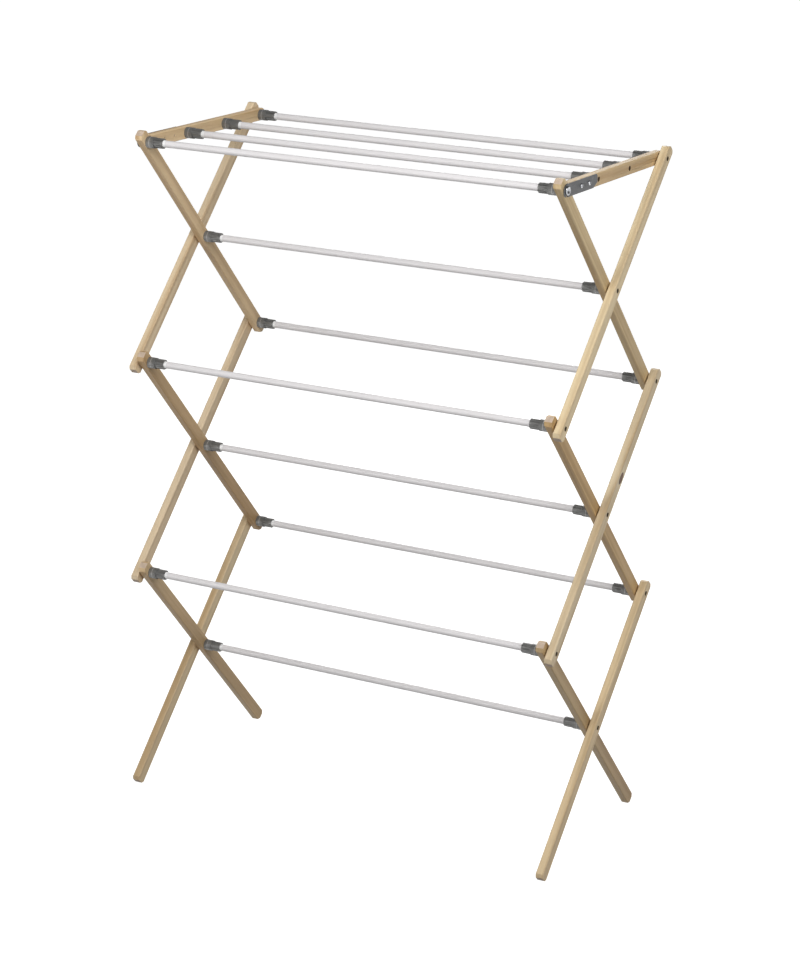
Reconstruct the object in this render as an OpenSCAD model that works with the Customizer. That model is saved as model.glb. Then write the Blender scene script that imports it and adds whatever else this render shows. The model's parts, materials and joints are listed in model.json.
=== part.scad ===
// Folding clothes drying rack: two three-stage scissor frames of wooden laths,
// joined by eleven coated rods, with two hooked rails that lock it open.
// +X runs to the right, +Y to the back, +Z up. The floor is z = 0.

/* [Overall size] */
// Height of the open rack, floor to lath tips
rack_height = 1079.5; // [850:0.5:1350]
// Width over the outer faces of the outer laths
rack_width = 749.3; // [450:0.1:1200]
// Length of every scissor lath, tip to tip; sets the depth of the open rack
lath_length = 519.5; // [420:0.5:640]

/* [Laths] */
// Width of a lath, seen from the side
lath_width = 20; // [14:0.5:32]
// Thickness of a lath, across the rack
lath_thickness = 12.5; // [8:0.5:20]
// Lath left beyond its end pivots
end_extension = 20; // [14:0.5:30]
// Height trimmed off every lath corner, which gives the feet a level face
corner_drop = 3.6; // [1:0.1:6]
// Chamfer on the long edges of laths and rails
edge_chamfer = 1.2; // [0.4:0.1:2.5]
// Gap between the inner and outer laths at a pivot
lath_gap = 1.8; // [1.4:0.1:4]

/* [Top rails] */
// Rail left behind its pivot
rail_tail = 13; // [11:0.5:18]
// Gap between a rail's slanted front end and the lath it meets
rail_end_gap = 1; // [0.5:0.1:3]
// Outward offset of a rail from the inner lath layer
rail_offset = 0.4; // [0.3:0.05:0.5]

/* [Rods] */
// Outer diameter of a coated rod
rod_diameter = 11; // [8:0.5:16]
// Wall of the rod's steel tube
rod_wall = 0.6; // [0.4:0.1:1.5]
// Length of rod hidden in a socket
rod_insertion = 18; // [12:0.5:28]

/* [Sockets] */
// Length of a socket along the rod
socket_length = 29; // [24:0.5:45]
// Length of the wide collar against the wood
collar_length = 13.5; // [8:0.5:20]
// Wall of the collar around the rod
collar_wall = 3.3; // [2:0.1:5]
// Wall of the sleeve around the rod, without its ribs
sleeve_wall = 1.7; // [1:0.1:3]
// Height of a rib on the sleeve
rib_height = 0.6; // [0.3:0.1:1.2]
// Width of a rib on the sleeve
rib_width = 2.6; // [1:0.1:4]
// Ribs around one sleeve
rib_count = 9; // [6:1:12]

/* [Screws and washers] */
// Shank diameter of pivot and rail screws
screw_diameter = 4; // [3:0.1:6]
// Diameter of a pivot screw's head
head_diameter = 6.4; // [5:0.1:10]
// Thickness of a pivot screw's head
head_height = 2.2; // [1.5:0.1:4]
// Depth of the hole that hides a screw's head
counterbore_depth = 4.6; // [3:0.1:7]
// Depth that a screw bites into its socket
screw_bite = 9; // [5:0.5:10]
// Outer diameter of the washers on the pivots
washer_diameter = 12; // [9:0.5:18]

/* [Latch] */
// Length of the latch plate behind the pin
plate_length = 102; // [60:1:105]
// Height of the latch plate
plate_height = 19.4; // [14:0.1:30]
// Thickness of the latch plate
plate_thickness = 1.5; // [1:0.1:3]
// Diameter of the pin that the plate's notch drops over
pin_diameter = 5; // [4:0.1:8]
// Diameter of the flange that keeps the plate on its pin
pin_flange_diameter = 13.4; // [8:0.1:14]
// Distance from the pin to the first plate screw
plate_screw_start = 47; // [30:1:60]
// Distance between the two plate screws
plate_screw_pitch = 27; // [15:1:40]
// Diameter of a plate screw's pan head
pan_diameter = 7; // [5:0.1:10]

/* [Fits] */
// Radial gap of a screw or pin in wood
bore_clearance = 0.05; // [0.02:0.01:0.1]
// Gap between parts that move past one another
side_clearance = 0.3; // [0.2:0.05:0.4]
// Gap around a screw's head in its hole
head_clearance = 0.5; // [0.3:0.1:1]

/* [Show] */
// The sub-part to draw, or all

/* [Hidden] */
$fn = 48;
wood = [0.86, 0.72, 0.52];
white_coat = [0.92, 0.90, 0.90];
grey_plastic = [0.42, 0.42, 0.43];
latch_steel = [0.45, 0.46, 0.48];
bright_steel = [0.75, 0.76, 0.78];

LEFT = -1;
RIGHT = 1;

// Geometry of the open scissor: tilt of a lath from upright, then its rise and run per half lath
stages = 3;
reach = lath_length / 2 - end_extension;
stack_length = 2 * stages * reach + 2 * end_extension;
tilt = atan2(lath_width, stack_length)
    + acos((rack_height + 2 * corner_drop) / sqrt(pow(stack_length, 2) + pow(lath_width, 2)));
half_rise = reach * cos(tilt);
half_run = reach * sin(tilt);
foot_rise = end_extension * cos(tilt) + lath_width / 2 * sin(tilt) - corner_drop;
top_level = 2 * stages;

// Corner trims along and across a lath, so that the trimmed face is level at the feet
corner_along = corner_drop / cos(tilt);
corner_across = corner_drop / sin(tilt);

// Layers, counted out from the middle of the rack
outer_face = rack_width / 2;
outer_back = outer_face - lath_thickness;
inner_face = outer_back - lath_gap;
inner_back = inner_face - lath_thickness;

screw_r = screw_diameter / 2;
bore_r = screw_r + bore_clearance;
head_r = head_diameter / 2;
head_hole_r = head_r + head_clearance;
head_seat = counterbore_depth - side_clearance;
washer_r = washer_diameter / 2;
rod_r = rod_diameter / 2;
collar_r = rod_r + collar_wall;
sleeve_r = rod_r + sleeve_wall;
rib_root = rod_r + sleeve_wall / 2;
rib_tip = sleeve_r + rib_height;
ring_depth = 0.4;
ring_width = 0.8;
socket_floor = socket_length - rod_insertion;
overshoot = 1;

pin_r = pin_diameter / 2;
notch_r = pin_r + side_clearance;
pin_flange_r = pin_flange_diameter / 2;
pin_flange_height = 1;
pin_dome_r = 3.6;
pin_dome_height = 2.4;
pin_neck = plate_thickness + rail_offset + side_clearance;
plate_r = plate_height / 2;
plate_chamfer_along = 13;
plate_chamfer_up = 7;
plate_nick = 3;
plate_screw_r = 1.6;
plate_screw_depth = 11;
pan_r = pan_diameter / 2;
pan_height = 2.2;
crown_rim = 0.45;
crown_top = 0.55;
rail_corner = 4;

// Where the washers sit
lath_washer = lath_gap - side_clearance;
free_washer = lath_gap - 2 * side_clearance;
rail_washer = lath_gap - rail_offset - 2 * side_clearance;

// Height of a row of pivots, counted in half stages above the feet
function level(n) = foot_rise + n * half_rise;

// Draws its children on the right side, or mirrored on the left
module on_side(side) {
    if (side == LEFT)
        mirror([1, 0, 0])
            children();
    else
        children();
}

module on_both_sides() {
    for (side = [LEFT, RIGHT])
        on_side(side)
            children();
}

// A flat outline in the side plane, given thickness from x outwards
module side_plate(x, thickness) {
    translate([x, 0, 0])
        rotate([90, 0, 90])
            linear_extrude(height = thickness)
                children();
}

// A round bar along X, from x outwards
module cross_bar(x, length, r) {
    translate([x, 0, 0])
        rotate([0, 90, 0])
            cylinder(h = length, r = r);
}

// A long bar of the given width with its four long edges chamfered, upright, from x outwards
module eased_bar(x, length) {
    half = lath_width / 2;
    c = edge_chamfer;
    translate([x, 0, -length / 2])
        linear_extrude(height = length)
            polygon([
                [c, -half], [lath_thickness - c, -half],
                [lath_thickness, c - half], [lath_thickness, half - c],
                [lath_thickness - c, half], [c, half],
                [0, half - c], [0, c - half],
            ]);
}

// Outline of a lath with its four corners trimmed
module lath_outline() {
    half_w = lath_width / 2;
    half_l = lath_length / 2;
    polygon([
        [corner_across - half_w, -half_l], [half_w - corner_across, -half_l],
        [half_w, corner_along - half_l], [half_w, half_l - corner_along],
        [half_w - corner_across, half_l], [corner_across - half_w, half_l],
        [-half_w, half_l - corner_along], [-half_w, corner_along - half_l],
    ]);
}

// One upright lath with its pivot bores, its back at x
module lath(x, bores, counterbores) {
    difference() {
        intersection() {
            eased_bar(x, lath_length + 2 * overshoot);
            side_plate(x - overshoot, lath_thickness + 2 * overshoot)
                lath_outline();
        }
        for (at = bores)
            translate([0, 0, at * reach])
                cross_bar(x - overshoot, lath_thickness + 2 * overshoot, bore_r);
        for (at = counterbores)
            translate([0, 0, at * reach])
                cross_bar(x + lath_thickness - counterbore_depth,
                    counterbore_depth + overshoot, head_hole_r);
    }
}

// Inner laths lean from top front to bottom back; stage 1 is at the bottom
module inner_lath(stage, bores) {
    translate([0, 0, level(2 * stage - 1)])
        rotate([tilt, 0, 0])
            lath(inner_back, bores, []);
}

// Outer laths lean from bottom front to top back
module outer_lath(stage, bores) {
    translate([0, 0, level(2 * stage - 1)])
        rotate([-tilt, 0, 0])
            lath(outer_back, bores, bores);
}

// A top rail: rounded-off tail behind the pivot, slanted front end along the top inner lath
module top_rail() {
    half = lath_width / 2;
    tail = half_run + rail_tail;
    front_run = (half + rail_end_gap) / cos(tilt) - half_run;
    slant = half * tan(tilt);
    bar = 2 * (half_run + rail_tail + half);
    difference() {
        translate([0, 0, level(top_level)])
            intersection() {
                rotate([-90, 0, 0])
                    eased_bar(inner_back + rail_offset, bar);
                side_plate(inner_back + rail_offset - overshoot, lath_thickness + 2 * overshoot)
                    polygon([
                        [front_run + slant, -half], [tail - rail_corner, -half],
                        [tail, rail_corner - half], [tail, half - rail_corner],
                        [tail - rail_corner, half], [front_run - slant, half],
                    ]);
            }
        for (y = [-half_run / 3, half_run / 3, half_run])
            translate([0, y, level(top_level)])
                cross_bar(inner_back - overshoot, lath_thickness + 2 * overshoot, bore_r);
        for (y = [-half_run / 3, half_run / 3])
            translate([0, y, level(top_level)])
                cross_bar(inner_face + rail_offset - counterbore_depth,
                    counterbore_depth + overshoot, head_hole_r);
        for (i = [0, 1])
            translate([0, plate_screw_start + i * plate_screw_pitch - half_run, level(top_level)])
                cross_bar(inner_back - overshoot, lath_thickness + 2 * overshoot, plate_screw_r);
    }
}

// A coated tube along X, from socket to socket; shift moves both ends out
module rod(shift = 0) {
    half = inner_back + shift - socket_floor;
    difference() {
        cross_bar(-half, 2 * half, rod_r);
        cross_bar(-half - overshoot, 2 * (half + overshoot), rod_r - rod_wall);
    }
}

// A plastic socket: wide collar on the wood with a ring groove, then a ribbed sleeve
module socket(shift = 0) {
    base = inner_back + shift;
    ribs_from = base - socket_length;
    difference() {
        union() {
            cross_bar(base - collar_length, collar_length, collar_r);
            cross_bar(base - socket_length, socket_length, sleeve_r);
            for (i = [0 : rib_count - 1])
                rotate([i * 360 / rib_count, 0, 0])
                    translate([ribs_from, -rib_width / 2, rib_root])
                        cube([socket_length - collar_length / 2, rib_width, rib_tip - rib_root]);
        }
        cross_bar(base - socket_length - overshoot, rod_insertion + overshoot, rod_r);
        cross_bar(base - socket_floor - overshoot, socket_floor + 2 * overshoot, screw_r);
        translate([base - collar_length + 2 * ring_width, 0, 0])
            rotate([0, 90, 0])
                difference() {
                    cylinder(h = ring_width, r = collar_r + overshoot);
                    translate([0, 0, -overshoot])
                        cylinder(h = ring_width + 2 * overshoot, r = collar_r - ring_depth);
                }
    }
}

module socket_pair(shift = 0) {
    on_both_sides()
        socket(shift);
}

// Moves its children to a pivot: y in half runs, height in half stages
module at_pivot(y, n) {
    translate([0, y * half_run, level(n)])
        children();
}

// A screw sunk in an outer lath, through the inner layer and into a socket
module pivot_screw(shift = 0) {
    seat = outer_face - head_seat;
    tip = inner_back + shift - screw_bite;
    cross_bar(tip, seat - tip, screw_r);
    cross_bar(seat, head_height, head_r);
}

// A screw sunk in a rail and into a socket
module rail_screw() {
    seat = inner_face + rail_offset - counterbore_depth;
    tip = inner_back + rail_offset - screw_bite;
    cross_bar(tip, seat - tip, screw_r);
    cross_bar(seat, head_height, head_r);
}

// A washer on a pivot screw, its back at x
module washer(x, thickness) {
    difference() {
        cross_bar(x, thickness, washer_r);
        cross_bar(x - overshoot, thickness + 2 * overshoot, screw_r);
    }
}

// A round head with a straight rim and a sloping crown, from x outwards
module crowned_head(x, r, height) {
    rim = height * crown_rim;
    cross_bar(x, rim, r);
    translate([x + rim, 0, 0])
        rotate([0, 90, 0])
            cylinder(h = height - rim, r1 = r, r2 = r * crown_top);
}

// Latch pin: shank in the top inner lath and its socket, neck, flange and domed head
module latch_pin() {
    tip = inner_back - screw_bite;
    flange = inner_face + pin_neck;
    dome = flange + pin_flange_height;
    cross_bar(tip, inner_face - tip, screw_r);
    cross_bar(inner_face, pin_neck, pin_r);
    cross_bar(flange, pin_flange_height, pin_flange_r);
    crowned_head(dome, pin_dome_r, pin_dome_height);
}

// Latch plate on a rail's outer face: rounded nose with a notch open downwards
module latch_plate() {
    difference() {
        union() {
            side_plate(inner_face + rail_offset, plate_thickness)
                polygon([
                    [0, -plate_r], [plate_length - plate_chamfer_along, -plate_r],
                    [plate_length, plate_chamfer_up - plate_r], [plate_length, plate_r - plate_nick],
                    [plate_length - plate_nick, plate_r], [0, plate_r],
                ]);
            cross_bar(inner_face + rail_offset, plate_thickness, plate_r);
        }
        cross_bar(inner_face, rail_offset + plate_thickness + overshoot, notch_r);
        translate([inner_face, -notch_r, -plate_r - overshoot])
            cube([rail_offset + plate_thickness + overshoot, 2 * notch_r, plate_r + overshoot]);
        for (i = [0, 1])
            translate([0, plate_screw_start + i * plate_screw_pitch, 0])
                cross_bar(inner_face, rail_offset + plate_thickness + overshoot, plate_screw_r);
    }
}

// Pan-head screw through the latch plate into its rail
module plate_screw() {
    head = inner_face + rail_offset + plate_thickness;
    cross_bar(head - plate_screw_depth - plate_thickness, plate_screw_depth + plate_thickness,
        plate_screw_r);
    crowned_head(head, pan_r, pan_height);
}

// Scissor laths

module left_inner_top_lath() {
    color(wood)
        on_side(LEFT)
            inner_lath(3, [-1, 0, 1]);
}

module right_inner_top_lath() {
    color(wood)
        on_side(RIGHT)
            inner_lath(3, [-1, 0, 1]);
}

module left_inner_middle_lath() {
    color(wood)
        on_side(LEFT)
            inner_lath(2, [-1, 0, 1]);
}

module right_inner_middle_lath() {
    color(wood)
        on_side(RIGHT)
            inner_lath(2, [-1, 0, 1]);
}

module left_inner_bottom_lath() {
    color(wood)
        on_side(LEFT)
            inner_lath(1, [0, 1]);
}

module right_inner_bottom_lath() {
    color(wood)
        on_side(RIGHT)
            inner_lath(1, [0, 1]);
}

module left_outer_top_lath() {
    color(wood)
        on_side(LEFT)
            outer_lath(3, [-1, 0, 1]);
}

module right_outer_top_lath() {
    color(wood)
        on_side(RIGHT)
            outer_lath(3, [-1, 0, 1]);
}

module left_outer_middle_lath() {
    color(wood)
        on_side(LEFT)
            outer_lath(2, [-1, 0, 1]);
}

module right_outer_middle_lath() {
    color(wood)
        on_side(RIGHT)
            outer_lath(2, [-1, 0, 1]);
}

module left_outer_bottom_lath() {
    color(wood)
        on_side(LEFT)
            outer_lath(1, [0, 1]);
}

module right_outer_bottom_lath() {
    color(wood)
        on_side(RIGHT)
            outer_lath(1, [0, 1]);
}

// Rails

module left_top_rail() {
    color(wood)
        on_side(LEFT)
            top_rail();
}

module right_top_rail() {
    color(wood)
        on_side(RIGHT)
            top_rail();
}

// Rods, from the top front round to the bottom

module top_front_rod() {
    color(white_coat)
        at_pivot(-1, 6)
            rod();
}

module tray_front_rod() {
    color(white_coat)
        at_pivot(-1 / 3, 6)
            rod(rail_offset);
}

module tray_rear_rod() {
    color(white_coat)
        at_pivot(1 / 3, 6)
            rod(rail_offset);
}

module top_rear_rod() {
    color(white_coat)
        at_pivot(1, 6)
            rod();
}

module upper_cross_rod() {
    color(white_coat)
        at_pivot(0, 5)
            rod();
}

module upper_back_rod() {
    color(white_coat)
        at_pivot(1, 4)
            rod();
}

module upper_front_rod() {
    color(white_coat)
        at_pivot(-1, 4)
            rod();
}

module middle_cross_rod() {
    color(white_coat)
        at_pivot(0, 3)
            rod();
}

module lower_back_rod() {
    color(white_coat)
        at_pivot(1, 2)
            rod();
}

module lower_front_rod() {
    color(white_coat)
        at_pivot(-1, 2)
            rod();
}

module lower_cross_rod() {
    color(white_coat)
        at_pivot(0, 1)
            rod(-side_clearance);
}

// Sockets, one pair per rod

module top_front_sockets() {
    color(grey_plastic)
        at_pivot(-1, 6)
            socket_pair();
}

module tray_front_sockets() {
    color(grey_plastic)
        at_pivot(-1 / 3, 6)
            socket_pair(rail_offset);
}

module tray_rear_sockets() {
    color(grey_plastic)
        at_pivot(1 / 3, 6)
            socket_pair(rail_offset);
}

module top_rear_sockets() {
    color(grey_plastic)
        at_pivot(1, 6)
            socket_pair();
}

module upper_cross_sockets() {
    color(grey_plastic)
        at_pivot(0, 5)
            socket_pair();
}

module upper_back_sockets() {
    color(grey_plastic)
        at_pivot(1, 4)
            socket_pair();
}

module upper_front_sockets() {
    color(grey_plastic)
        at_pivot(-1, 4)
            socket_pair();
}

module middle_cross_sockets() {
    color(grey_plastic)
        at_pivot(0, 3)
            socket_pair();
}

module lower_back_sockets() {
    color(grey_plastic)
        at_pivot(1, 2)
            socket_pair();
}

module lower_front_sockets() {
    color(grey_plastic)
        at_pivot(-1, 2)
            socket_pair();
}

module lower_cross_sockets() {
    color(grey_plastic)
        at_pivot(0, 1)
            socket_pair(-side_clearance);
}

// Latches

module left_latch_plate() {
    color(latch_steel)
        at_pivot(-1, 6)
            on_side(LEFT)
                latch_plate();
}

module right_latch_plate() {
    color(latch_steel)
        at_pivot(-1, 6)
            on_side(RIGHT)
                latch_plate();
}

module latch_pins() {
    color(bright_steel)
        at_pivot(-1, 6)
            on_both_sides()
                latch_pin();
}

module latch_plate_screws() {
    color(bright_steel)
        on_both_sides()
            for (i = [0, 1])
                translate([0, plate_screw_start + i * plate_screw_pitch - half_run, level(top_level)])
                    plate_screw();
}

// Screws, grouped by the laths or the rod that they turn with

module top_lath_screws() {
    color(bright_steel)
        on_both_sides()
            for (at = [[0, 5], [1, 4]])
                at_pivot(at[0], at[1])
                    pivot_screw();
}

module middle_lath_screws() {
    color(bright_steel)
        on_both_sides()
            for (at = [[-1, 4], [0, 3], [1, 2]])
                at_pivot(at[0], at[1])
                    pivot_screw();
}

module bottom_lath_screws() {
    color(bright_steel)
        on_both_sides()
            at_pivot(-1, 2)
                pivot_screw();
}

module lower_cross_screws() {
    color(bright_steel)
        on_both_sides()
            at_pivot(0, 1)
                pivot_screw(-side_clearance);
}

module top_rear_screws() {
    color(bright_steel)
        on_both_sides()
            at_pivot(1, 6)
                pivot_screw();
}

module rail_screws() {
    color(bright_steel)
        on_both_sides()
            for (y = [-1 / 3, 1 / 3])
                at_pivot(y, 6)
                    rail_screw();
}

// Washers, grouped like the screws they sit on

module top_lath_washers() {
    color(bright_steel)
        on_both_sides()
            for (at = [[0, 5], [1, 4]])
                at_pivot(at[0], at[1])
                    washer(inner_face, lath_washer);
}

module middle_lath_washers() {
    color(bright_steel)
        on_both_sides()
            for (at = [[-1, 4], [0, 3], [1, 2]])
                at_pivot(at[0], at[1])
                    washer(inner_face, lath_washer);
}

module bottom_lath_washers() {
    color(bright_steel)
        on_both_sides()
            at_pivot(-1, 2)
                washer(inner_face, lath_washer);
}

module lower_cross_washers() {
    color(bright_steel)
        on_both_sides()
            at_pivot(0, 1)
                washer(inner_face + side_clearance, free_washer);
}

module top_rear_washers() {
    color(bright_steel)
        on_both_sides()
            at_pivot(1, 6)
                washer(inner_face + rail_offset + side_clearance, rail_washer);
}

left_inner_top_lath();
right_inner_top_lath();
left_inner_middle_lath();
right_inner_middle_lath();
left_inner_bottom_lath();
right_inner_bottom_lath();
left_outer_top_lath();
right_outer_top_lath();
left_outer_middle_lath();
right_outer_middle_lath();
left_outer_bottom_lath();
right_outer_bottom_lath();
left_top_rail();
right_top_rail();
top_front_rod();
tray_front_rod();
tray_rear_rod();
top_rear_rod();
upper_cross_rod();
upper_back_rod();
upper_front_rod();
middle_cross_rod();
lower_back_rod();
lower_front_rod();
lower_cross_rod();
top_front_sockets();
tray_front_sockets();
tray_rear_sockets();
top_rear_sockets();
upper_cross_sockets();
upper_back_sockets();
upper_front_sockets();
middle_cross_sockets();
lower_back_sockets();
lower_front_sockets();
lower_cross_sockets();
left_latch_plate();
right_latch_plate();
latch_pins();
latch_plate_screws();
top_lath_screws();
middle_lath_screws();
bottom_lath_screws();
lower_cross_screws();
top_rear_screws();
rail_screws();
top_lath_washers();
middle_lath_washers();
bottom_lath_washers();
lower_cross_washers();
top_rear_washers();
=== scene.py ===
"""A wooden accordion drying rack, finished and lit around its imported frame.

Metres, with +X along the rods, +Y to the back and +Z up, standing on z = 0.
"""

import json
import math

import bpy
from mathutils import Matrix, Vector


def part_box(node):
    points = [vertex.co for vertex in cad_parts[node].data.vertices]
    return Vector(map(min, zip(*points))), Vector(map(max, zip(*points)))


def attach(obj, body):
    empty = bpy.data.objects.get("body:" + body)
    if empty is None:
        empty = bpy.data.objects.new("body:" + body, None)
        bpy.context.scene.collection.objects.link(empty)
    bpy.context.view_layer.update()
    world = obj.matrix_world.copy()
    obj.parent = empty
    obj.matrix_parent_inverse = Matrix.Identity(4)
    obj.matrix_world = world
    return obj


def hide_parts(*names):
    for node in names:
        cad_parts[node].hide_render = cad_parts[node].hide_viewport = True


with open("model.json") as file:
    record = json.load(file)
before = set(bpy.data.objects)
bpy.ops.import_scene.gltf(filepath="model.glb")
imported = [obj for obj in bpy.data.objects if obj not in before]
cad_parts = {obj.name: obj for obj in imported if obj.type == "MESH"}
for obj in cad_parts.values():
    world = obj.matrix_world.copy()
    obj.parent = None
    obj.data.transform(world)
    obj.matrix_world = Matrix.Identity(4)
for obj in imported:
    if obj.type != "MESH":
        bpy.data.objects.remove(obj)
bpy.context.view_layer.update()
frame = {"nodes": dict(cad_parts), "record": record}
nodes = frame["nodes"]


# Scissor laths. Twelve strips of clear-coated pine, planed, with eased edges
# and trimmed corners, held by screws through bores at their ends and middles.
# Inner laths lean to the front going up and outer laths to the back.

EASED_EDGE = 0.0003
SHARP = math.radians(28)
BORE_SHADE_EDGE = (0.0036, 0.0039)
PALE_WOOD = (0.80, 0.66, 0.445)
BROWN_WOOD = (0.54, 0.39, 0.22)
END_WOOD = (0.70, 0.56, 0.44)
END_RING = (0.58, 0.45, 0.34)
KNOT_WOOD = (0.17, 0.09, 0.05)
KNOT_RIM = (0.06, 0.03, 0.018)
KNOT_EDGE = (0.003, 0.0064)
KNOT_OFF_CENTRE = 0.0005
KNOT_UP = 0.27
BORE_PAINTED_SHADE = (0.035, 0.022, 0.012)
WOOD_RELIEF = 0.00004
LATH_TONES = {
    "left_inner_bottom_lath": (0.88, 0.78, 0.66),
    "left_inner_middle_lath": (0.76, 0.63, 0.49),
    "left_inner_top_lath": (1.05, 0.95, 0.84),
    "left_outer_bottom_lath": (0.98, 0.94, 0.88),
    "left_outer_middle_lath": (1.02, 0.99, 1.00),
    "left_outer_top_lath": (1.08, 1.06, 1.07),
    "right_inner_bottom_lath": (0.69, 0.60, 0.47),
    "right_inner_middle_lath": (0.82, 0.69, 0.50),
    "right_inner_top_lath": (0.91, 0.86, 0.73),
    "right_outer_bottom_lath": (0.94, 0.88, 0.79),
    "right_outer_middle_lath": (1.01, 1.02, 1.03),
    "right_outer_top_lath": (1.02, 1.00, 0.94),
}


def soften(piece, width=0, steps=2):
    """Shades a piece smoothly and, where a width is given, rounds its sharp edges."""
    piece.data.polygons.foreach_set("use_smooth", [True] * len(piece.data.polygons))
    if width:
        weld = piece.modifiers.new("joined faces", "WELD")
        weld.merge_threshold = 1e-6
        bevel = piece.modifiers.new("eased edges", "BEVEL")
        bevel.width = width
        bevel.segments = steps
        bevel.limit_method = "ANGLE"
        bevel.angle_limit = SHARP
        bevel.harden_normals = True
    piece.modifiers.new("even faces", "WEIGHTED_NORMAL")


class Strand:
    """A value, colour or vector inside a finish, so that its maths reads as Python."""

    def __init__(self, tree, plug):
        self.tree = tree
        self.plug = plug

    def node(self, kind, settings=(), feeds=(), out=0):
        """Adds a node, sets it up, feeds its sockets and returns one of its outputs."""
        made = self.tree.nodes.new("ShaderNode" + kind)
        for name, value in dict(settings).items():
            setattr(made, name, value)
        for name, value in dict(feeds).items():
            if isinstance(value, Strand):
                self.tree.links.new(value.plug, made.inputs[name])
            else:
                made.inputs[name].default_value = value
        return Strand(self.tree, made.outputs[out])

    def into(self, shader, name):
        self.tree.links.new(self.plug, shader.inputs[name])

    def math(self, operation, first, second=0.0):
        return self.node("Math", {"operation": operation}, {0: first, 1: second})

    def vector(self, operation, other=(0, 0, 0), out=0):
        return self.node("VectorMath", {"operation": operation}, {0: self, 1: other}, out)

    def __add__(self, other):
        return self.math("ADD", self, other)

    def __radd__(self, other):
        return self.math("ADD", other, self)

    def __sub__(self, other):
        return self.math("SUBTRACT", self, other)

    def __rsub__(self, other):
        return self.math("SUBTRACT", other, self)

    def __mul__(self, other):
        return self.math("MULTIPLY", self, other)

    def __rmul__(self, other):
        return self.math("MULTIPLY", other, self)

    def __truediv__(self, other):
        return self.math("DIVIDE", self, other)

    def __rtruediv__(self, other):
        return self.math("DIVIDE", other, self)

    def rise(self, start, end):
        """0 at start, 1 at end, and a smooth rise between."""
        feeds = {"Value": self, "From Min": start, "From Max": end}
        return self.node("MapRange", {"interpolation_type": "SMOOTHSTEP"}, feeds)

    def wave(self):
        """Up and down between 0 and 1 as this value grows."""
        return self.math("PINGPONG", self, 1.0)

    def length(self):
        return self.vector("LENGTH", out=1)

    def mix(self, first, second):
        """From the first colour to the second, by this value."""
        ends = [c if isinstance(c, Strand) else (*c, 1) for c in (first, second)]
        return self.node("Mix", {"data_type": "RGBA"}, {0: self, 6: ends[0], 7: ends[1]}, 2)

    def shade(self, by):
        """This colour, lighter or darker by a factor."""
        return self.node("VectorMath", {"operation": "SCALE"}, {0: self, "Scale": by})

    def noise(self, stretch, detail=2.0, distortion=0.0):
        """Smooth noise from 0 to 1, with so many features to the metre along each axis."""
        feeds = {"Vector": self.vector("MULTIPLY", stretch), "Scale": 1.0, "Detail": detail}
        return self.node("TexNoise", {}, {**feeds, "Distortion": distortion})

    def bump(self, shader, depth, strength=1.0):
        """Uses this height, from 0 to 1, as relief of the given depth in metres."""
        relief = {"Height": self, "Distance": depth, "Strength": strength}
        self.node("Bump", {}, relief).into(shader, "Normal")


def finish(name, **constants):
    """A new material, its shader, and the place of each point on the piece."""
    made = bpy.data.materials.new(name)
    made.use_nodes = True
    tree = made.node_tree
    shader = tree.nodes["Principled BSDF"]
    for socket, value in constants.items():
        shader.inputs[socket.replace("_", " ")].default_value = value
    place = Strand(tree, None).node("TexCoord", out="Object")
    return made, shader, place


def clear_coated_pine(name, centre, lean, seed, tone, bores, knots=()):
    """Pine with its grain along a piece that leans from upright about +X."""
    made, shader, place = finish(name, Specular_IOR_Level=0.32)
    turned = {"Vector": place.vector("SUBTRACT", centre), "Rotation": (-lean, 0, 0)}
    local = place.node("Mapping", {}, turned)
    grain = local.vector("ADD", (0.37 * seed, 0.61 * seed, 0.83 * seed))

    swirl = heart = bore_shade = place.math("ADD", 0.0)
    for spot in knots:
        away = local.vector("SUBTRACT", spot).vector("MULTIPLY", (1, 1, 0.5)).length()
        swirl = swirl + 0.02 / (away + 0.01)
        heart = heart + 1 - away.rise(*KNOT_EDGE)
    # Painted shade: the walls of each bore are coloured near black, as the shade inside the
    # holes.
    for at in bores:
        away = local.vector("SUBTRACT", (0, 0, at)).vector("MULTIPLY", (0, 1, 1)).length()
        bore_shade = bore_shade + 1 - away.rise(*BORE_SHADE_EDGE)

    figure = grain.noise((30, 30, 0.8), 2.0, 0.4)
    rings = (figure * 5 + swirl).wave()
    fibre = grain.noise((520, 520, 9), 3.0)
    flow = grain.noise((70, 70, 1.8), 2.0)
    cloud = grain.noise((60, 60, 14), 2.0)
    late = rings.rise(0.2, 1.0) * 0.45 + flow.rise(0.42, 0.64) * 0.55 + (fibre - 0.5) * 0.4
    along = late.mix(PALE_WOOD, BROWN_WOOD).shade(0.88 + cloud * 0.26)

    upright = (0, -math.sin(lean), math.cos(lean))
    facing = place.node("TexCoord", out="Normal").vector("DOT_PRODUCT", upright, 1)
    end = facing.math("ABSOLUTE", facing).rise(0.8, 0.93)
    arcs = (local.vector("ADD", (0.03, 0.02, 0)).length() * 700 + flow * 3).wave()
    across = arcs.mix(END_WOOD, END_RING).shade(0.88 + fibre * 0.2)
    body = end.mix(along.vector("MULTIPLY", tone), across)
    knot = heart.rise(0.5, 1.0).mix(KNOT_RIM, KNOT_WOOD)
    body = heart.rise(0.0, 0.6).mix(body, knot)
    bore_shade.math("MINIMUM", bore_shade, 1.0).mix(body, BORE_PAINTED_SHADE).into(shader, "Base Color")

    (0.42 + fibre * 0.16 + end * 0.2).into(shader, "Roughness")
    (fibre * 0.7 + rings * 0.3).bump(shader, WOOD_RELIEF, 0.6)
    return made


def dress(name, material):
    nodes[name].data.materials.clear()
    nodes[name].data.materials.append(material)


def middle(name):
    low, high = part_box(name)
    return (low + high) / 2


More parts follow.
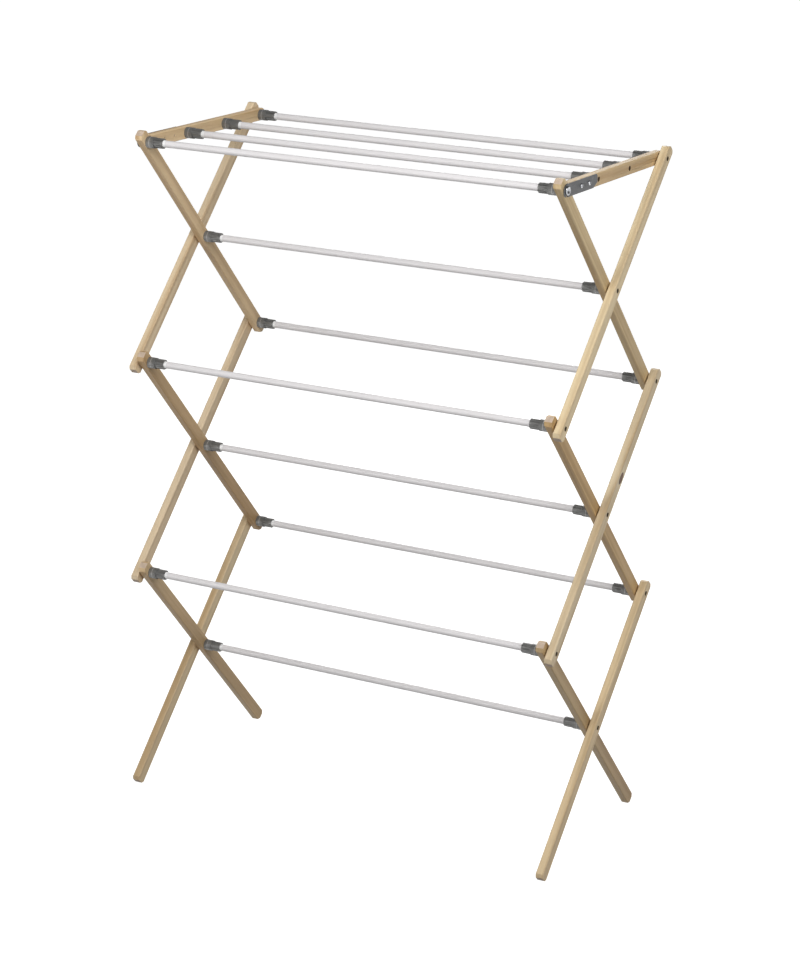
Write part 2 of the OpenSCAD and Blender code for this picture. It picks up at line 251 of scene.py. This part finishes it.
behaviour = frame["record"]["behaviour"]
joints = {joint["name"]: Vector(joint["pos_m"]) for joint in behaviour["joints"]}
span = joints["lower_back_pivot"] - joints["fold"]
tilt = math.atan2(span.y, span.z)
for seed, (name, tone) in enumerate(LATH_TONES.items(), 1):
    lean = tilt if "inner" in name else -tilt
    bores = (0, span.length) if "bottom" in name else (-span.length, 0, span.length)
    knots = []
    if name == "right_outer_middle_lath":
        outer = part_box(name)[1].x - middle(name).x
        knots = [(outer, KNOT_OFF_CENTRE, KNOT_UP * span.length)]
    dress(name, clear_coated_pine("pine, " + name, middle(name), lean, seed, tone, bores, knots))
    soften(nodes[name], EASED_EDGE)


# Top rails. Two shorter strips of the same pine, hinged on the rear top rod
# and cut to a slant at the front, where they meet the top laths.

RAIL_TONES = {"left_top_rail": (1.08, 0.98, 0.86), "right_top_rail": (0.92, 0.83, 0.70)}

for seed, (name, tone) in enumerate(RAIL_TONES.items(), 21):
    held_at = [middle(rod).y for rod in ("tray_front_rod", "tray_rear_rod", "top_rear_rod")]
    bores = [middle(name).y - y for y in held_at]
    dress(name, clear_coated_pine("pine, " + name, middle(name), math.pi / 2, seed, tone, bores))
    soften(nodes[name], EASED_EDGE)


# Rods. Eleven thin steel tubes with a satin powder coat, pushed into their
# sockets. The coat is a warm white with a faint orange peel, and a painted
# highlight makes it brighter in a short ring beside the left sockets.

COAT = (0.83, 0.805, 0.81)
COAT_SCUFFED = (0.77, 0.74, 0.745)
COAT_PAINTED_HIGHLIGHT = (0.98, 0.975, 0.97)
HIGHLIGHT_FROM, HIGHLIGHT_TO = 0.004, 0.005
COAT_RELIEF = 0.00006
SOCKET_LENGTH = 0.029
ROD_EDGE = 0.0002


def powder_coat(name):
    made, shader, place = finish(name, Coat_Weight=0.15, Coat_Roughness=0.2)
    cloud = place.noise((7, 60, 60), 3.0)
    scuff = place.noise((160, 420, 420), 4.0)
    worn = cloud.rise(0.5, 0.75) * 0.4 + scuff.rise(0.6, 0.7) * 0.2
    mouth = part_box("top_front_sockets")[0].x + SOCKET_LENGTH
    # Painted highlight: a near-white ring on every rod just beside the left sockets.
    ring = place.vector("DOT_PRODUCT", (-1, 0, 0), 1).rise(-mouth - HIGHLIGHT_TO, -mouth - HIGHLIGHT_FROM)
    ring.mix(worn.mix(COAT, COAT_SCUFFED), COAT_PAINTED_HIGHLIGHT).into(shader, "Base Color")
    (0.3 + cloud * 0.12 + scuff * 0.06).into(shader, "Roughness")
    place.noise((900, 900, 900), 1.0).bump(shader, COAT_RELIEF, 0.5)
    return made


coat = powder_coat("satin white powder coat")
for name in sorted(nodes):
    if name.endswith("_rod"):
        dress(name, coat)
        soften(nodes[name], ROD_EDGE, 1)


# Sockets. Moulded grey plastic, one at each rod end: a wide collar against
# the wood with a fine witness line, then a narrower sleeve with raised ribs.

GREY = (0.14, 0.138, 0.132)
GREY_RUBBED = (0.25, 0.247, 0.24)
GREY_LINE_HIGHLIGHT = (0.42, 0.42, 0.41)
LINE_AT = 0.3415
LINE_EDGE = (0.0002, 0.0006)
SOCKET_RELIEF = 0.00004
SOCKET_EDGE = 0.0002


def moulded_grey(name):
    made, shader, place = finish(name, Specular_IOR_Level=0.9)
    grit = place.noise((2600, 2600, 2600), 2.0)
    cloud = place.noise((70, 70, 70), 3.0)
    rubbed = cloud.rise(0.45, 0.8) * 0.4 + (grit - 0.5) * 0.4
    across = place.vector("DOT_PRODUCT", (1, 0, 0), 1)
    away = place.math("ABSOLUTE", place.math("ABSOLUTE", across) - LINE_AT)
    # Painted highlight: a lighter grey along the witness line, where the line catches the light.
    line_highlight = 1 - away.rise(*LINE_EDGE)
    line_highlight.mix(rubbed.mix(GREY, GREY_RUBBED), GREY_LINE_HIGHLIGHT).into(shader, "Base Color")
    (0.28 + cloud * 0.12).into(shader, "Roughness")
    grit.bump(shader, SOCKET_RELIEF, 0.5)
    return made


plastic = moulded_grey("moulded grey plastic")
for name in sorted(nodes):
    if name.endswith("_sockets"):
        dress(name, plastic)
        soften(nodes[name], SOCKET_EDGE)


# Latch plates. Stamped from 1.5 mm zinc-plated strip, with a rounded nose and
# a notch that drops over the latch pin. Rubbed brighter along the brushing.

ZINC = (0.12, 0.122, 0.125)
ZINC_RUBBED = (0.24, 0.243, 0.25)
BRUSHED_RELIEF = 0.00003
PLATE_EDGE = 0.00025


def dull_zinc(name):
    made, shader, place = finish(name, Metallic=0.8)
    brushed = place.noise((2400, 40, 2400), 3.0)
    bloom = place.noise((90, 90, 90), 3.0)
    worn = brushed * 0.6 + bloom.rise(0.5, 0.75) * 0.4 - 0.2
    worn.mix(ZINC, ZINC_RUBBED).into(shader, "Base Color")
    (0.36 + bloom * 0.2).into(shader, "Roughness")
    brushed.bump(shader, BRUSHED_RELIEF, 0.6)
    return made


zinc = dull_zinc("dull zinc plate")
for name in ("left_latch_plate", "right_latch_plate"):
    dress(name, zinc)
    soften(nodes[name], PLATE_EDGE)


# Plate screws. Two steel pan-head screws, plated in bright zinc and with a
# cross recess, hold each latch plate to its rail.

BRIGHT = (0.62, 0.63, 0.65)
BRIGHT_DULLED = (0.22, 0.23, 0.25)
PLATING_RELIEF = 0.00003
SPOKES = 64
HAIR = 0.00004
PAN_RIM = 0.0007
PAN_SHANK = 0.0016
PAN_SCREW = 0.0128
PAN_TIP = 0.0004
PAN_STEPS = 16
PAN_EDGE = 0.00005
CROSS_ARM = 0.62


def plated(name, pale, dull, roughness):
    made, shader, place = finish(name, Metallic=1.0)
    bloom = place.noise((300, 300, 300), 3.0)
    bloom.rise(0.4, 0.75).mix(pale, dull).into(shader, "Base Color")
    (roughness + bloom * 0.18).into(shader, "Roughness")
    bloom.bump(shader, PLATING_RELIEF, 0.4)
    return made


def cross_depth(a, b, arm):
    """How deep a cross recess with arms of this length is at a point of a head."""
    near, far = sorted((abs(a), abs(b)))
    flank = 1 - min(max((near - 0.24 * arm) / (0.1 * arm), 0), 1)
    tip = 1 - min(max((far - 0.75 * arm) / (0.25 * arm), 0), 1)
    return 0.7 * arm * min(flank, tip)


def turned(name, outline, places, arm=0.0):
    """Round pieces about X from (distance out, radius) points, crown first."""
    corners, faces = [], []
    for x, y, z, side in places:
        start = len(corners)
        for out, radius in outline:
            for spoke in range(SPOKES):
                angle = 2 * math.pi * spoke / SPOKES
                a, b = radius * math.cos(angle), radius * math.sin(angle)
                sunk = cross_depth(a, b, arm) if arm and out > PAN_RIM else 0
                corners.append((side * (x + out - sunk), y + side * a, z + b))
        for ring in range(len(outline) - 1):
            for spoke in range(SPOKES):
                here = start + ring * SPOKES + spoke
                beside = start + ring * SPOKES + (spoke + 1) % SPOKES
                faces.append((here, here + SPOKES, beside + SPOKES, beside))
        last = len(corners) - SPOKES
        faces.append([start + spoke for spoke in range(SPOKES)])
        faces.append([last + spoke for spoke in reversed(range(SPOKES))])
    mesh = bpy.data.meshes.new(name)
    mesh.from_pydata(corners, [], faces)
    piece = bpy.data.objects.new(name, mesh)
    bpy.context.collection.objects.link(piece)
    return piece


bright = plated("bright zinc", BRIGHT, BRIGHT_DULLED, 0.14)
low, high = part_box("latch_plate_screws")
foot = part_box("right_latch_plate")[1].x
radius = (high.z - low.z) / 2
domed = [
    (PAN_RIM + (high.x - foot - PAN_RIM) * math.cos(turn), max(radius * math.sin(turn), HAIR))
    for turn in (math.pi / 2 * step / PAN_STEPS for step in range(PAN_STEPS + 1))
]
point = [(PAN_RIM - PAN_SCREW, PAN_SHANK), (-PAN_SCREW, PAN_TIP)]
outline = domed + [(0, radius), (0, PAN_SHANK)] + point
places = [
    (foot, y, (low.z + high.z) / 2, side)
    for y in (low.y + radius, high.y - radius)
    for side in (-1, 1)
]
plate_screws = turned("pan_head_screws", outline, places, CROSS_ARM * radius)
plate_screws.data.materials.append(bright)
soften(plate_screws, PAN_EDGE, 1)
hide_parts("latch_plate_screws")
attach(plate_screws, "tray")


# Latch pins. A bright zinc-plated steel rivet through each top inner lath, with
# a dished flange that keeps the latch plate on its neck.

PIN_STAND = 0.0034
PIN_DISH = 0.0003
PIN_RIM = 0.0023
PIN_BOWL = 0.0055
PIN_ROUND = 0.0012
PIN_NECK = 0.0025
PIN_SHANK = 0.002
PIN_DEPTH = 0.021
PIN_STEPS = 12

low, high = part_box("latch_pins")
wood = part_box("right_inner_top_lath")[1].x
foot = high.x - PIN_STAND
flare = PIN_RIM - PIN_DISH
bowl = [
    (PIN_DISH + flare * share * share * (3 - 2 * share), max(PIN_BOWL * share, HAIR))
    for share in (step / PIN_STEPS for step in range(PIN_STEPS))
]
rim = [
    (max(PIN_RIM - PIN_ROUND * (1 - math.cos(turn)), 0), PIN_BOWL + PIN_ROUND * math.sin(turn))
    for turn in (math.pi * step / PIN_STEPS for step in range(PIN_STEPS + 1))
]
inside = wood - foot
neck = [(0, PIN_NECK), (inside, PIN_NECK), (inside, PIN_SHANK), (inside - PIN_DEPTH, PIN_SHANK)]
pivot = middle("top_front_rod")
places = [(foot, pivot.y, pivot.z, side) for side in (-1, 1)]
pins = turned("dished_latch_pins", bowl + rim + neck, places)
pins.data.materials.append(bright)
soften(pins)
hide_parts("latch_pins")
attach(pins, "top_inner_laths")


# Pivot screws, rail screws and washers. Steel plated in black zinc, sunk in the
# outer laths and rails and screwed into the sockets, washers between the laths.

BLACK_ZINC = (0.05, 0.05, 0.053)
BLACK_ZINC_RUBBED = (0.12, 0.12, 0.125)
SCREW_EDGE = 0.0002

black = plated("black zinc", BLACK_ZINC, BLACK_ZINC_RUBBED, 0.36)
for name in sorted(nodes):
    if name.endswith("_washers") or name.endswith("_screws") and name != "latch_plate_screws":
        dress(name, black)
        soften(nodes[name], SCREW_EDGE)


# Floor, light and camera. A wide pale floor and a far wall that glow, so that
# they read as white, one broad soft lamp high in front, weaker ones on each
# side and behind, and a little even light from all round.

FLOOR_WIDTH = 160
WALL_RADIUS = 24
WALL_HEIGHT = 60
PAINT = ((0.38, 0.38, 0.38), (0.4, 0.4, 0.4))
GLOW = 0.97
EVEN_LIGHT = 0.15
LAMP_WIDTH = 1.4
LAMPS_AIM = Vector((0, 0, 0.7))
LAMPS = {
    "front_lamp": (Vector((0.4, -1.7, 2.5)), 32),
    "right_lamp": (Vector((2.6, -0.6, 1.6)), 27),
    "left_lamp": (Vector((-1.2, -2.6, 1.2)), 20),
    "back_lamp": (Vector((-0.9, 2.6, 1.4)), 26),
}
CAMERA_AT = (1.97247, -3.64134, 1.76218)
CAMERA_AHEAD = (-0.45454, 0.83992, -0.29653)
CAMERA_RIGHT = (0.87633, 0.48130, 0.01998)
CAMERA_LENS = 100.43
CAMERA_SHIFT = (0.00805, 0.02759)
CAMERA_REACH = 400

bpy.ops.mesh.primitive_plane_add(size=FLOOR_WIDTH)
floor = bpy.context.object
floor.name = "pale_floor"
paint, shader, place = finish("matt white floor", Roughness=0.9, Specular_IOR_Level=0.1)
place.noise((0.8, 0.8, 0.8)).mix(*PAINT).into(shader, "Base Color")
shader.inputs["Emission Color"].default_value = (1, 1, 1, 1)
shader.inputs["Emission Strength"].default_value = GLOW
around = {"vertices": 96, "end_fill_type": "NOTHING"}
bpy.ops.mesh.primitive_cylinder_add(radius=WALL_RADIUS, depth=WALL_HEIGHT, **around)
wall = bpy.context.object
wall.name = "far_wall"
wall.visible_glossy = False
wall.visible_shadow = False
for staged in (floor, wall):
    staged.data.materials.append(paint)
    staged.visible_diffuse = False

world = bpy.data.worlds.new("studio")
bpy.context.scene.world = world
world.use_nodes = True
sky = world.node_tree.nodes["Background"].inputs
sky["Color"].default_value = (1, 1, 1, 1)
sky["Strength"].default_value = EVEN_LIGHT

for name, (at, watts) in LAMPS.items():
    soft = bpy.data.lights.new(name, "AREA")
    soft.energy = watts
    soft.size = LAMP_WIDTH
    lamp = bpy.data.objects.new(name, soft)
    lamp.location = at
    lamp.rotation_euler = (at - LAMPS_AIM).to_track_quat("Z", "Y").to_euler()
    lamp.visible_camera = False
    bpy.context.collection.objects.link(lamp)

lens = bpy.data.cameras.new("camera")
camera = bpy.data.objects.new("camera", lens)
bpy.context.collection.objects.link(camera)
ahead = Vector(CAMERA_AHEAD).normalized()
right = Vector(CAMERA_RIGHT)
right = (right - ahead * right.dot(ahead)).normalized()
turn = Matrix((right, right.cross(ahead), -ahead)).transposed()
camera.matrix_world = Matrix.Translation(CAMERA_AT) @ turn.to_4x4()
lens.lens = CAMERA_LENS
lens.shift_x, lens.shift_y = CAMERA_SHIFT
lens.clip_end = CAMERA_REACH
bpy.context.scene.camera = camera
bpy.context.scene.view_settings.view_transform = "Standard"
